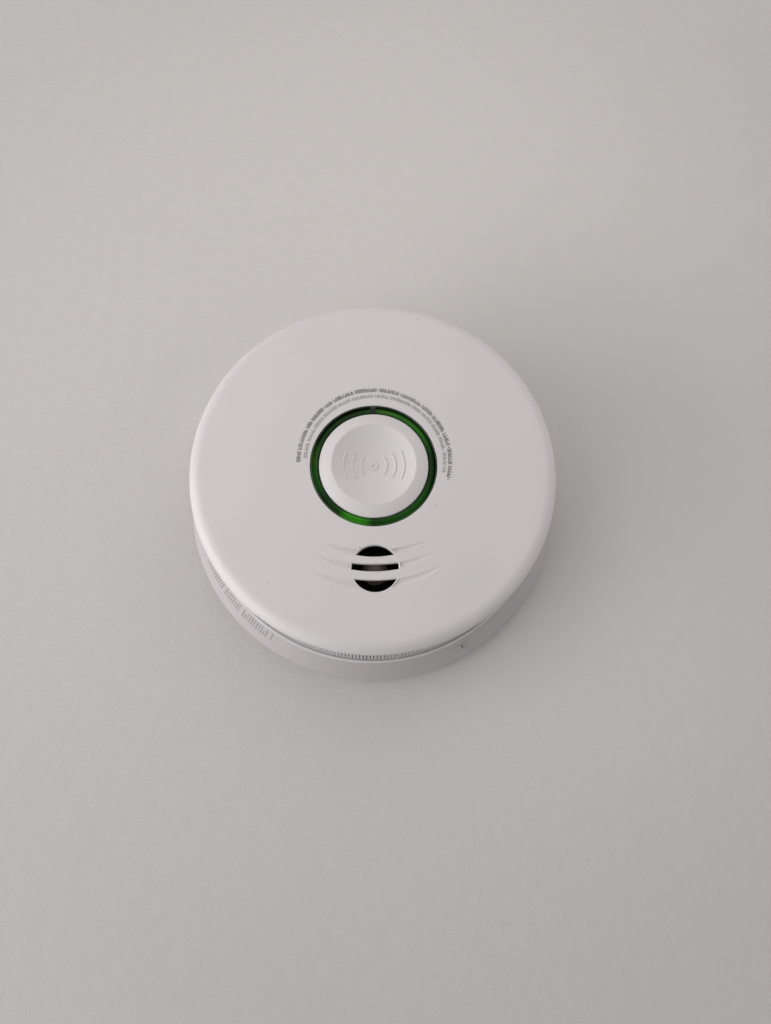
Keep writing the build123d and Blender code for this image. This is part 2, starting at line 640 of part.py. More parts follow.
def battery_tab(side, y0):
    x = side * CELL_X
    return box(x - 2.6, x + 2.6, y0, y0 + 0.3, CELL_Z - 2.6, CELL_Z + 4.0)


def battery_lead(side):
    path = Spline((side * 36.5, CELL_END_Y + 1.15, CELL_Z + 3.4), (side * 31.5, 1.15, 22.0),
                  (side * 27.2, -1.6, 20.6), (side * 26.2, -9.5, 16.4))
    return sweep_round(path, 0.6)


save("battery_cell_right", battery_cell(1))
save("battery_cell_left", battery_cell(-1))
save("battery_straps", union(battery_strap(side) for side in (1, -1)))
save("battery_tabs", union(
    battery_tab(side, y0) for side in (1, -1)
    for y0 in (CELL_END_Y + 0.05, CELL_Y - CELL_L / 2 + 0.42)))
save("battery_leads", union(battery_lead(side) for side in (1, -1)))

# ---------------------------------------------------------------- mains inlet
MAINS_PIN_X = [INLET_X + offset_x for offset_x in (-7, 0, 7)]


def mains_inlet():
    inlet = block(13.2, 7.2, 5.1, UNDER_BOARD, INLET_X, INLET_Y)
    inlet -= block(11.6, 5.6, 4, 12.2, INLET_X, INLET_Y)
    inlet -= block(2.5, 1.5, 4, 7.6, INLET_X, INLET_Y + 6.5)  # polarising notch
    for x in MAINS_PIN_X:
        inlet -= cyl(0.85, 10, 16, x, INLET_Y)
    return inlet


save("mains_inlet", mains_inlet())
save("mains_pins", union(cyl(0.8, 6.6, 13.9, x, INLET_Y) for x in MAINS_PIN_X))

# ---------------------------------------------------------------- board parts
# x, y, radius, height above the board
ELECTROLYTICS = ((-10.0, -7.5, 4.0, 11.0), (10.5, -8.0, 3.2, 8.5), (9.5, 9.0, 3.2, 8.5))
CHOKE = (22.6, 3.2)

save("film_capacitor", fillet(
    box(-5, 13, 30.5, 38.5, BODY_Z, 28.0).edges().filter_by(Axis.Z), 0.8))
save("varistor", y_cyl(4.6, 3.2, -6.5, 41.2, 20.8)
     + box(-9.2, -8.4, 40.9, 41.5, PIN_Z, 18) + box(-4.6, -3.8, 40.9, 41.5, PIN_Z, 18))
save("electrolytic_capacitors", union(
    cyl(radius, PIN_Z, PCB_Z1 + height, x, y) for x, y, radius, height in ELECTROLYTICS))
save("microcontroller", box(-13.5, -6.0, 4.5, 12.0, BODY_Z, 17.1))
save("sounder_driver", box(-5.5, 5.5, -17.9, -11.9, BODY_Z, 17.4))
save("filter_choke", cyl(4.1, BODY_Z, 17.0, *CHOKE) + cyl(2.6, 16.8, 22.5, *CHOKE)
     + cyl(4.1, 22.3, 23.6, *CHOKE))

# ---------------------------------------------------------------- activation and deactivation
SWITCH_A = SLIDE_A + 9.0     # activation switch, ahead of the slider


def activation_slider():
    slider = sector(SLIDE_R - 1.6, SLIDE_R + 1.6, 4.5, 7.3, SLIDE_A - 3.2, SLIDE_A + 3.2)
    slider += sector(SLIDE_R - 3.4, SLIDE_R + 3.4, 7.15, 8.4, SLIDE_A - 5.0, SLIDE_A + 5.0)
    slider += sector(SLIDE_R - 1.0, SLIDE_R + 1.0, 8.2, 10.6, SLIDE_A + 1.5, SLIDE_A + 4.4)
    slider -= cyl(1.26, 3, 6.4, *SLIDE_POST)
    return slider


def deactivation_dial():
    dial = (cyl(4.2, 5.2, 7.4, DIAL_X, DIAL_Y) + cyl(5.8, 7.15, 8.2, DIAL_X, DIAL_Y)
            + cyl(2.0, 8.0, 12.6, DIAL_X, DIAL_Y))
    # screwdriver slot in the rear face
    return dial - block(3.4, 0.5, 4, 6.4, DIAL_X, DIAL_Y)


save("activation_slider", activation_slider())
save("activation_switch",
     spoke(SWITCH_A, SLIDE_R - 3, SLIDE_R + 3, 2.6, 9.0, UNDER_BOARD))
save("deactivation_dial", deactivation_dial())
save("deactivation_switch", block(4.6, 4.6, 9.6, UNDER_BOARD, DIAL_X, DIAL_Y)
     - cyl(2.06, 9, 13.0, DIAL_X, DIAL_Y))
save("rating_label", sector(30.3, 46.7, 4.95, 5.12, 96.5, 133.5))
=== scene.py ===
"""Round smoke and carbon monoxide alarm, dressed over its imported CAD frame.

Metres in the row frame: the wall is z = 0, +Z comes out of it and +Y is the top. The alarm is
round about the Z axis. Sizes named below are in millimetres and are turned to metres by MM.
"""

import json
import math
import random

import bmesh
import bpy
from mathutils import Matrix, Vector


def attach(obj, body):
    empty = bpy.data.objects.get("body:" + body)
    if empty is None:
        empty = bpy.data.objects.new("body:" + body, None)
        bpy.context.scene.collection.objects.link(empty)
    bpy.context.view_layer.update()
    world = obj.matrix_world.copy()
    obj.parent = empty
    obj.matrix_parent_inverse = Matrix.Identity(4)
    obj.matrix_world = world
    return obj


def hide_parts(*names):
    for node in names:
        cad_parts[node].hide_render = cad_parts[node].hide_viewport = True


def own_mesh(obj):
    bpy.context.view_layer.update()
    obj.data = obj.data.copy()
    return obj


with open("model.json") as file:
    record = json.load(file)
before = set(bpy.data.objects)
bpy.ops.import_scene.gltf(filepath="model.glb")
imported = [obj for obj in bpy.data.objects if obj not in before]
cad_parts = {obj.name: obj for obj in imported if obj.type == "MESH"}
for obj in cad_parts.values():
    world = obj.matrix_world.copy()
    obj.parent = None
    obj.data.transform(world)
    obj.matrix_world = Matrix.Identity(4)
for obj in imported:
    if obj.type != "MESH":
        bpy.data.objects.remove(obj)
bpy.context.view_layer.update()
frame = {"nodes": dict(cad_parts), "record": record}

MM = 0.001
NODES = frame["nodes"]
SLOT = {part["node"]: part["material_slot"] for part in frame["record"]["subparts"]}

# ------------------------------------------------------------------ CAD surfaces, mm
WELL_R, FACE_R = 22.2, 60.2  # inner and outer radius of the domed face
FACE_TOP, FACE_DROP = 43.0, 1.4
DISH_R, DISH_DEPTH, BUTTON_TOP = 14.65, 3.2, 44.1
DISH_SPHERE_R = (DISH_R**2 + DISH_DEPTH**2) / (2 * DISH_DEPTH)
SKIRT_TOP, SKIRT_FOOT = (65.5, 11.0), (71.0, 4.4)  # radius, height


def dome_z(radius):
    return FACE_TOP - (radius * radius - WELL_R**2) / (FACE_R**2 - WELL_R**2) * FACE_DROP


def dish_z(radius):
    rise = math.sqrt(DISH_SPHERE_R * DISH_SPHERE_R - radius * radius)
    return BUTTON_TOP - DISH_DEPTH + DISH_SPHERE_R - rise


def on_face(x, y, proud):
    return (x, y, dome_z(math.hypot(x, y)) + proud)


def on_skirt(angle, down_slope, proud):
    """A point on the conical skirt: angle in degrees, then mm down the slope from its top."""
    (top_r, top_z), (foot_r, foot_z) = SKIRT_TOP, SKIRT_FOOT
    length = math.hypot(foot_r - top_r, foot_z - top_z)
    slope_r, slope_z = (foot_r - top_r) / length, (foot_z - top_z) / length
    radius = top_r + slope_r * down_slope - slope_z * proud
    z = top_z + slope_z * down_slope + slope_r * proud
    return (radius * math.cos(math.radians(angle)), radius * math.sin(math.radians(angle)), z)


# ------------------------------------------------------------------ node helpers
NOISE_SPAN = (0.3, 0.7)  # the part of a noise texture's output that is in common use


class Material:
    """A principled material. Its helpers take sockets or plain values and return sockets."""

    def __init__(self, name):
        self.data = bpy.data.materials.new(name)
        self.data.use_nodes = True
        self.tree = self.data.node_tree
        self.tree.nodes.clear()
        output = self.node("ShaderNodeOutputMaterial")
        self.shader = self.node("ShaderNodeBsdfPrincipled")
        self.feed(output.inputs["Surface"], self.shader.outputs["BSDF"])
        self.position = self.node("ShaderNodeTexCoord").outputs["Object"]

    def feed(self, socket, value):
        if isinstance(value, bpy.types.NodeSocket):
            self.tree.links.new(value, socket)
        elif isinstance(value, tuple) and socket.type == "RGBA":
            socket.default_value = (*value, 1.0)
        else:
            socket.default_value = value

    def node(self, kind, inputs=None, **settings):
        made = self.tree.nodes.new(kind)
        for key, value in settings.items():
            setattr(made, key, value)
        for key, value in (inputs or {}).items():
            self.feed(made.inputs[key], value)
        return made

    def set(self, name, value):
        self.feed(self.shader.inputs[name], value)

    def noise(self, scale, detail=3.0, roughness=0.5, vector=None):
        inputs = {"Scale": scale, "Detail": detail, "Roughness": roughness}
        inputs["Vector"] = vector or self.position
        return self.node("ShaderNodeTexNoise", inputs).outputs["Fac"]

    def voronoi(self, scale):
        inputs = {"Scale": scale, "Vector": self.position}
        return self.node("ShaderNodeTexVoronoi", inputs, feature="F1")

    def grey_ramp(self, value, stops):
        """Stops are (position, grey level)."""
        ramp = self.node("ShaderNodeValToRGB", {"Fac": value})
        elements = ramp.color_ramp.elements
        while len(elements) > 1:
            elements.remove(elements[-1])
        for i, (position, level) in enumerate(stops):
            element = elements[0] if i == 0 else elements.new(position)
            element.position = position
            element.color = (level, level, level, 1.0)
        return ramp.outputs["Color"]

    def remap(self, value, span=NOISE_SPAN, to=(0.0, 1.0), smooth=False):
        inputs = {
            "Value": value,
            "From Min": span[0],
            "From Max": span[1],
            "To Min": to[0],
            "To Max": to[1],
        }
        curve = "SMOOTHSTEP" if smooth else "LINEAR"
        return self.node("ShaderNodeMapRange", inputs, interpolation_type=curve).outputs["Result"]

    def math(self, operation, *values):
        return self.node("ShaderNodeMath", dict(enumerate(values)), operation=operation).outputs[0]

    def fold(self, operation, values):
        total = values[0]
        for value in values[1:]:
            total = self.math(operation, total, value)
        return total

    def plus(self, *values):
        return self.fold("ADD", values)

    def times(self, *values):
        return self.fold("MULTIPLY", values)

    def mix(self, factor, first, second, blend="MIX"):
        inputs = {0: factor, 6: first, 7: second}  # 6 and 7 are the colour sockets
        mixer = self.node("ShaderNodeMix", inputs, data_type="RGBA", blend_type=blend)
        mixer.clamp_factor = True
        return mixer.outputs[2]

    def tint(self, factor, color, blend="MIX"):
        """Lay a colour over whatever feeds the base colour."""
        base = self.shader.inputs["Base Color"].links[0].from_socket
        self.set("Base Color", self.mix(factor, base, color, blend))

    def axes(self):
        return self.node("ShaderNodeSeparateXYZ", {"Vector": self.position}).outputs

    def radius(self, axes):
        x, y = axes["X"], axes["Y"]
        return self.math("SQRT", self.plus(self.times(x, x), self.times(y, y)))

    def bump(self, height, strength, distance, normal=None):
        inputs = {"Strength": strength, "Distance": distance, "Height": height}
        if normal is not None:
            inputs["Normal"] = normal
        return self.node("ShaderNodeBump", inputs).outputs["Normal"]

    def edge_round(self, radius):
        return self.node("ShaderNodeBevel", {"Radius": radius}, samples=4).outputs["Normal"]


# ------------------------------------------------------------------ material families
# specks of dust and small nicks: cell scale, share of cells left clean, speck size, strength
SPECKS = ((200.0, 0.93, 0.095, 0.62), (420.0, 0.972, 0.16, 0.45))


def dust_and_corner_shade(mat, base, dust_and_shade):
    """Dust specks in random cells, and grey in the corners that is part dust and part painted
    shade.
    """
    for scale, clean_share, size, strength in SPECKS:
        cells = mat.voronoi(scale)
        span = (size * 0.45, size)
        dot = mat.remap(cells.outputs["Distance"], span=span, to=(1.0, 0.0), smooth=True)
        pick = mat.node("ShaderNodeSeparateColor", {"Color": cells.outputs["Color"]})
        chosen = mat.math("GREATER_THAN", pick.outputs[0], clean_share)
        base = mat.mix(mat.times(dot, chosen, strength * dust_and_shade), base, (0.18, 0.16, 0.14))
    # painted shade: ambient occlusion darkens the colour in corners and creases
    corners = mat.node("ShaderNodeAmbientOcclusion", {"Distance": 1.6 * MM}, samples=6)
    shade = mat.remap(corners.outputs["AO"], span=(0.35, 0.95), to=(0.16 * dust_and_shade, 0.0))
    return mat.mix(shade, base, (0.30, 0.28, 0.25))


def moulded(name, color, rough=0.5, grain=0.018, edge=0.18, dust_and_shade=0.0, warm=0.012, scatter=0.0):
    """Moulded plastic: fine grain and rounded edges (both mm), faint colour drift, dust specks and
    painted shade in the corners.
    """
    mat = Material(name)
    darker = tuple(channel * (1 - warm) for channel in color)
    warmer = tuple(min(1, c * (1 + share * warm)) for c, share in zip(color, (1, 0.6, 0.4)))
    base = mat.mix(mat.remap(mat.noise(scale=38.0, detail=2.0)), darker, warmer)
    if dust_and_shade:
        base = dust_and_corner_shade(mat, base, dust_and_shade)
    mat.set("Base Color", base)
    patches = mat.noise(scale=900.0, detail=2.0, roughness=0.6)
    mat.set("Roughness", mat.remap(patches, to=(rough - 0.05, rough + 0.05)))
    mat.set("IOR", 1.48)
    if scatter:
        mat.set("Subsurface Weight", scatter)
        mat.set("Subsurface Radius", (1.0, 0.8, 0.6))
        mat.set("Subsurface Scale", 0.0012)
    rounded = mat.edge_round(edge * MM)
    spark = mat.noise(scale=7000.0, detail=1.0)
    mat.set("Normal", mat.bump(spark, strength=0.35, distance=grain * MM, normal=rounded))
    return mat


def metal(name, color=None, rough=0.3, brushed=(1.0, 1.0, 1.0)):
    """Fine-grained metal; without a colour the caller sets the base colour."""
    mat = Material(name)
    stretch = mat.node("ShaderNodeMapping", {"Scale": brushed, "Vector": mat.position})
    grain = mat.noise(scale=2500.0, roughness=0.6, vector=stretch.outputs["Vector"])
    if color:
        stain = mat.remap(mat.noise(scale=120.0, detail=2.0), span=(0.35, 0.7))
        mat.set("Base Color", mat.mix(stain, color, tuple(c * 0.86 for c in color)))
    mat.set("Metallic", 1.0)
    mat.set("Roughness", mat.remap(grain, to=(rough * 0.75, rough * 1.3)))
    rounded = mat.edge_round(0.1 * MM)
    mat.set("Normal", mat.bump(grain, strength=0.4, distance=0.004 * MM, normal=rounded))
    return mat


def mottled(name, first, second, scale, detail=3.0, roughness=0.5, span=NOISE_SPAN):
    """A material whose base colour wanders between two colours."""
    mat = Material(name)
    wander = mat.noise(scale=scale, detail=detail, roughness=roughness)
    mat.set("Base Color", mat.mix(mat.remap(wander, span=span), first, second))
    return mat


# ------------------------------------------------------------------ single materials
def cover_plastic():
    mat = moulded("cover_white", (0.655, 0.636, 0.632), rough=0.46, dust_and_shade=1.0, scatter=0.04)
    # painted shade: the slotted band below the rim lies in the rim's shadow, so it is darkened and
    # made bluish, and darker again in blotches
    band_edge = (34.4 * MM, 34.9 * MM)
    below = mat.remap(mat.axes()["Z"], span=band_edge, to=(1.0, 0.0))
    mat.tint(below, (0.84, 0.85, 0.875), "MULTIPLY")
    blotch = mat.remap(mat.noise(scale=230.0, roughness=0.6), span=(0.43, 0.60))
    below = mat.remap(mat.axes()["Z"], span=band_edge, to=(1.0, 0.0))
    mat.tint(mat.times(blotch, below), (0.90, 0.905, 0.915), "MULTIPLY")
    return mat


def housing_plastic():
    # the housing's white is darker than the cover's: part its own tone, part painted shade on the
    # skirt below the cover's rim
    mat = moulded("housing_white", (0.465, 0.443, 0.448), dust_and_shade=0.3)
    # painted highlight: the ledge at the top of the skirt is paler; painted shade: its inner half,
    # in the shadow of the band, is darker
    ledge_highlight = mat.remap(mat.axes()["Z"], span=(10.95 * MM, 11.1 * MM))
    mat.tint(ledge_highlight, (0.70, 0.69, 0.685))
    axes = mat.axes()
    inner_shade = mat.remap(mat.radius(axes), span=(64.62 * MM, 64.88 * MM), to=(1.0, 0.0))
    above = mat.remap(axes["Z"], span=(10.9 * MM, 11.05 * MM))
    mat.tint(mat.times(inner_shade, above), (0.43, 0.418, 0.424))
    return mat


def dark_plastic(slot, color, rough):
    return moulded(slot + "_mat", color, rough=rough, grain=0.012, edge=0.1, warm=0.06)


def sounder_plastic():
    mat = dark_plastic("sounder_black", (0.0025, 0.0024, 0.0024), rough=0.8)
    mat.set("Specular IOR Level", 0.12)
    return mat


def piezo_disc():
    mat = metal("piezo_disc", rough=0.50)
    # painted light: brownest in the middle where light reaches it through its opening, painted
    # shade towards the edge of the opening, with a paler painted ring near its rim
    middle = (0.0, -0.03655, 0.0345)
    offset = mat.node("ShaderNodeVectorMath", {0: mat.position, 1: middle}, operation="SUBTRACT")
    length = mat.node("ShaderNodeVectorMath", {0: offset.outputs[0]}, operation="LENGTH")
    painted_light_fade = mat.grey_ramp(
        mat.remap(length.outputs["Value"], span=(0.0, 6.0 * MM)),
        ((0.0, 1.0), (0.35, 0.72), (0.62, 0.22), (0.74, 0.42), (0.80, 0.12), (1.0, 0.04)),
    )
    mat.set("Base Color", mat.mix(painted_light_fade, (0.012, 0.009, 0.008), (0.36, 0.28, 0.25)))
    return mat


def piezo_ceramic():
    mat = mottled("piezo_ceramic_mat", (0.72, 0.71, 0.66), (0.62, 0.61, 0.57), scale=600)
    mat.set("Roughness", 0.45)
    mat.set("Metallic", 0.5)
    return mat


def label_paper():
    mat = mottled("label_blank", (0.74, 0.735, 0.70), (0.70, 0.69, 0.66), scale=90, detail=2)
    mat.set("Roughness", 0.42)
    fibre = mat.noise(scale=2600, detail=5, roughness=0.7)
    mat.set("Normal", mat.bump(fibre, strength=0.3, distance=0.01 * MM))
    return mat


def led_lens():
    mat = mottled("led_lens", (0.55, 0.75, 0.5), (0.45, 0.68, 0.42), scale=1500, detail=2)
    mat.set("Emission Color", (0.10, 1.0, 0.12))
    mat.set("Emission Strength", 0.8)
    mat.set("Roughness", 0.2)
    return mat


def circuit_board():
    """Solder mask with fine tracks and drilled vias."""
    mat = Material("solder_mask")
    tracks = mat.node("ShaderNodeTexBrick", {
        "Scale": 260.0,
        "Mortar Size": 0.035,
        "Color1": (0.006, 0.060, 0.022),
        "Color2": (0.007, 0.068, 0.026),
        "Mortar": (0.018, 0.125, 0.045),
        "Vector": mat.position,
    })
    cells = mat.voronoi(scale=420.0)
    via = mat.remap(cells.outputs["Distance"], span=(0.10, 0.14), to=(1.0, 0.0))
    mat.set("Base Color", mat.mix(via, tracks.outputs["Color"], (0.45, 0.36, 0.14)))
    mat.set("Metallic", mat.times(via, 0.8))
    mat.set("Roughness", 0.28)
    rounded = mat.edge_round(0.08 * MM)
    relief = mat.bump(tracks.outputs["Fac"], strength=0.25, distance=0.03 * MM, normal=rounded)
    mat.set("Normal", relief)
    return mat


# pools of light round the ring: centre and half width in degrees, strength
RING_LOBES = (
    (56, 46, 0.088),
    (183, 32, 0.034),
    (251, 18, 0.165),
    (252, 40, 0.014),
    (308, 40, 0.034),
)
RING_BASE_GLOW = 0.017
# brightness across the lens: share of the way from its inner to its outer radius, level
RING_SPAN = (19.3 * MM, 22.1 * MM)
RING_ACROSS = (
    (0.0, 0.20), (0.12, 0.40), (0.24, 0.95), (0.36, 1.0), (0.46, 0.62),
    (0.60, 0.78), (0.68, 0.80), (0.76, 0.30), (0.84, 0.22), (1.0, 0.15),
)
RING_LIP = (21.15 * MM, 21.45 * MM)  # where the crown gives way to the outer lip
RING_KEY_HALF = 1.04 * MM


def ring_lens():
    """Smoked green lens lit in pools by its LEDs; its lip has a painted highlight at the lower
    left and is painted nearly black in shade elsewhere.
    """
    mat = Material("ring_lens_green")
    axes = mat.axes()
    angle = mat.math("ARCTAN2", axes["Y"], axes["X"])
    radius = mat.radius(axes)

    def cosine_from(centre):
        return mat.math("COSINE", mat.math("SUBTRACT", angle, math.radians(centre)))

    def lobe(centre, half, power):
        span = (math.cos(math.radians(half)), math.cos(math.radians(half * 0.12)))
        return mat.times(mat.remap(cosine_from(centre), span=span, smooth=True), power)

    glow = mat.plus(*(lobe(*row) for row in RING_LOBES), RING_BASE_GLOW)
    across = mat.grey_ramp(mat.remap(radius, span=RING_SPAN), RING_ACROSS)
    # painted highlight on the lip at the lower left, painted shade on the lip elsewhere
    highlight_side = mat.remap(cosine_from(240), span=(-0.15, 0.55), smooth=True)
    lip = mat.remap(radius, span=RING_LIP, smooth=True)
    lift = mat.plus(across, mat.times(lip, highlight_side, 0.35))
    shaded_lip = mat.times(lip, mat.math("SUBTRACT", 1.0, highlight_side))
    dim = mat.remap(shaded_lip, span=(0.0, 1.0), to=(1.0, 0.12))
    ripple = mat.noise(scale=420, detail=2)
    waver = mat.remap(ripple, to=(0.86, 1.12))

    # the flat key at the top is plain moulded plastic with no light in it
    narrow = mat.math("LESS_THAN", mat.math("ABSOLUTE", axes["X"]), RING_KEY_HALF)
    key = mat.times(narrow, mat.math("GREATER_THAN", axes["Y"], 15 * MM))
    unkeyed = mat.math("SUBTRACT", 1.0, key)

    body = mat.mix(lip, (0.005, 0.014, 0.006), (0.002, 0.006, 0.002))
    mat.set("Base Color", mat.mix(key, body, (0.018, 0.024, 0.022)))
    warmth = mat.remap(angle, span=(0.6, 1.5), smooth=True)
    mat.set("Emission Color", mat.mix(warmth, (0.13, 1.0, 0.03), (0.30, 1.0, 0.10)))
    mat.set("Emission Strength", mat.times(glow, lift, dim, waver, unkeyed))
    # the lip is glossier than the crown and the key is duller
    glossy = mat.plus(mat.times(lip, -0.14), 0.30)
    mat.set("Roughness", mat.plus(glossy, mat.times(key, 0.2)))
    mat.set("Specular IOR Level", mat.remap(lip, span=(0.0, 1.0), to=(0.10, 0.55)))
    mat.set("IOR", 1.48)
    mat.set("Normal", mat.bump(ripple, strength=0.10, distance=0.05 * MM))
    return mat


def ink(name, dark, pale):
    """Thin grey ink, slightly uneven where it sits on the grain."""
    mat = mottled(name, dark, pale, scale=3500, roughness=0.6, span=(0.35, 0.65))
    mat.set("Roughness", 0.55)
    return mat


# ------------------------------------------------------------------ materials by slot
# slot, colour, roughness
DARK_PLASTICS = (
    ("switch_black", (0.018, 0.018, 0.018), 0.42),
    ("switch_plunger", (0.03, 0.03, 0.032), 0.4),
    ("chamber_black", (0.010, 0.010, 0.010), 0.75),
    ("strap_black", (0.02, 0.02, 0.02), 0.5),
    ("chip_black", (0.016, 0.016, 0.017), 0.6),
    ("choke_black", (0.03, 0.03, 0.032), 0.7),
    ("diode_black", (0.012, 0.010, 0.016), 0.15),
    ("emitter_blue", (0.03, 0.05, 0.16), 0.12),
    ("battery_sleeve", (0.03, 0.05, 0.16), 0.25),
    ("capacitor_box", (0.45, 0.08, 0.03), 0.35),
    ("varistor_blue", (0.03, 0.09, 0.30), 0.4),
    ("slider_plastic", (0.75, 0.16, 0.02), 0.45),
    ("dial_plastic", (0.75, 0.16, 0.02), 0.45),
    ("lead_red", (0.45, 0.02, 0.015), 0.4),
    ("gasket_rubber", (0.02, 0.02, 0.02), 0.85),
)

MATERIALS = {
    "cover_plastic": cover_plastic(),
    "button_plastic": moulded(
        "button_white", (0.665, 0.645, 0.642), rough=0.42, grain=0.010, dust_and_shade=0.35, scatter=0.04
    ),
    "housing_plastic": housing_plastic(),
    "plate_plastic": moulded(
        "plate_white", (0.56, 0.54, 0.535), rough=0.6, grain=0.022, dust_and_shade=0.3
    ),
    "carrier_plastic": moulded("carrier_white", (0.05, 0.09, 0.05)),
    "inlet_white": moulded("inlet_ivory", (0.62, 0.60, 0.52), rough=0.45),
    "cell_cap": moulded("cell_cap_white", (0.68, 0.68, 0.64), rough=0.55),
    **{row[0]: dark_plastic(*row) for row in DARK_PLASTICS},
    "sounder_black": sounder_plastic(),
    "spring_steel": metal("spring_wire", (0.56, 0.56, 0.57), rough=0.28),
    "screw_steel": metal("screw_zinc", (0.60, 0.60, 0.58), rough=0.32),
    "screen_steel": metal("screen_etched", (0.38, 0.38, 0.38), rough=0.4),
    "cell_aluminium": metal("cell_can", (0.72, 0.72, 0.72), brushed=(1.0, 1.0, 0.05)),
    "tin_brass": metal("tinned_brass", (0.78, 0.74, 0.62), rough=0.25),
    "piezo_brass": piezo_disc(),
    "nickel_tab": metal("nickel_strip", (0.66, 0.64, 0.60)),
    "capacitor_can": metal("capacitor_can_mat", (0.16, 0.17, 0.22), rough=0.35),
    "piezo_ceramic": piezo_ceramic(),
    "label_paper": label_paper(),
    "led_clear": led_lens(),
    "board_green": circuit_board(),
    "ring_lens": ring_lens(),
}

for node_name, part in NODES.items():
    part_material = MATERIALS[SLOT[node_name]].data
    for material_slot in part.material_slots:
        material_slot.material = part_material
    if not part.material_slots:
        part.data.materials.append(part_material)

INK = ink("print_ink", dark=(0.075, 0.072, 0.072), pale=(0.15, 0.145, 0.145))
INK_LIGHT = ink("print_ink_light", dark=(0.12, 0.115, 0.115), pale=(0.22, 0.215, 0.215))
INK_SKIRT = ink("print_ink_skirt", dark=(0.22, 0.205, 0.215), pale=(0.33, 0.315, 0.32))


# ------------------------------------------------------------------ mesh helpers
def finish_mesh(name, shape, material, body, smooth=30):
    """Turn a bmesh into an object that rides on a body; smooth is the sharp angle in degrees."""
    bmesh.ops.recalc_face_normals(shape, faces=shape.faces[:])
    mesh = bpy.data.meshes.new(name)
    shape.to_mesh(mesh)
    shape.free()
    mesh.materials.append(material.data)
    for polygon in mesh.polygons:
        polygon.use_smooth = True
    mesh.set_sharp_from_angle(angle=math.radians(smooth))
    made = bpy.data.objects.new(name, mesh)
    bpy.context.scene.collection.objects.link(made)
    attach(made, body)
    return made


def loft(shape, rings, closed=False):
    """Skin a row of vertex rings; an open row is capped at both ends."""
    sides = len(rings[0])
    pairs = list(zip(rings[:-1], rings[1:])) + ([(rings[-1], rings[0])] if closed else [])
    for near, far in pairs:
        for j in range(sides):
            k = (j + 1) % sides
            shape.faces.new((near[j], near[k], far[k], far[j]))
    if not closed:
        shape.faces.new(rings[0][::-1])
        shape.faces.new(rings[-1])


# ------------------------------------------------------------------ printed marks
INK_PROUD, INK_SUNK = 0.03, 0.12


def ink_tile(shape, corners, surface):
    """A thin closed tile of ink; corners are surface parameters in order round the tile."""
    top = [shape.verts.new(Vector(surface(*c, INK_PROUD)) * MM) for c in corners]
    under = [shape.verts.new(Vector(surface(*c, -INK_SUNK)) * MM) for c in corners]
    shape.faces.new(top)
    shape.faces.new(under[::-1])
    for i in range(len(corners)):
        j = (i + 1) % len(corners)
        shape.faces.new((top[i], under[i], under[j], top[j]))


def print_arc(name, centre, radius, height, start, end, stroke, material, seed, pitch=0.50):
    """Runs of short bars round an arc of the face, with gaps and dots between the runs."""
    shape = bmesh.new()
    draw = random.Random(seed)

    def add_mark(along, width, low, high):
        corners = []
        far = along + width
        for arc, across in ((along, low), (far, low), (far, high), (along, high)):
            angle = math.radians(end) - arc / radius
            x = centre[0] + (radius + across) * math.cos(angle)
            y = centre[1] + (radius + across) * math.sin(angle)
            corners.append((x, y))
        ink_tile(shape, corners, on_face)

    total = math.radians(end - start) * radius
    along = 0.0
    half = height / 2
    while along < total:
        for k in range(2 * draw.choice((3, 4, 5, 5, 6, 7, 8))):
            if along >= total:
                break
            width = stroke * draw.uniform(0.85, 1.2)
            tall = 1.0 if k % 2 == 0 else draw.choice((0.55, 0.75, 1.0))
            add_mark(along, width, -half, -half + height * tall)
            along += pitch
        if draw.random() < 0.3:
            add_mark(along + pitch * 0.5, stroke * 1.5, -stroke * 0.75, stroke * 0.75)
            along += pitch * 1.2
        along += pitch * 0.9
    finish_mesh(name, shape, material, "alarm")


def print_skirt():
    """Graduation band on the lower left of the skirt."""
    start, end = 190.0, 236.0
    radius = 68  # turns lengths round the skirt into angles
    stroke, pitch, gap = 0.5, 1.18, 1.3
    top, foot = 0.8, 4.5  # down the slope
    shape = bmesh.new()
    draw = random.Random(9)
    angle = start
    while angle < end:
        for k in range(draw.choice((4, 6, 8, 11))):
            if angle > end:
                break
            far = angle + math.degrees(stroke * draw.uniform(0.85, 1.15) / radius)
            high = top if k % 2 == 0 else top + draw.choice((0.0, 0.8, 1.4))
            ink_tile(shape, ((angle, high), (far, high), (far, foot), (angle, foot)), on_skirt)
            angle += math.degrees(pitch / radius)
        angle += math.degrees(gap / radius)
    finish_mesh("print_scale_skirt", shape, INK_SKIRT, "alarm")


print_arc("print_scale_outer", centre=(0.3, 1.75), radius=26.5, height=1.5,
          start=-15.0, end=181.0, stroke=0.29, material=INK, seed=3)
print_arc("print_scale_inner", centre=(0.5, 1.5), radius=24.4, height=1.35,
          start=-10.6, end=177.5, stroke=0.21, material=INK_LIGHT, seed=5)
print_skirt()

# ------------------------------------------------------------------ button relief
RELIEF_WIDTH, RELIEF_HEIGHT = 0.95, 0.26
# across the bar as a share of its width; height as a share if positive, mm sunk if negative
RELIEF_PROFILE = (
    (-0.5, -0.18), (-0.46, 0.55), (-0.28, 1.0), (0.28, 1.0), (0.46, 0.55), (0.5, -0.18),
)
WAVES = ((4.6, 46), (7.6, 38), (10.6, 30))  # radius, half angle in degrees
DOT_RING_R = 1.15


def arc_path(radius, start, end, steps):
    angles = [math.radians(start + (end - start) * i / steps) for i in range(steps + 1)]
    return [(radius * math.cos(angle), radius * math.sin(angle)) for angle in angles]


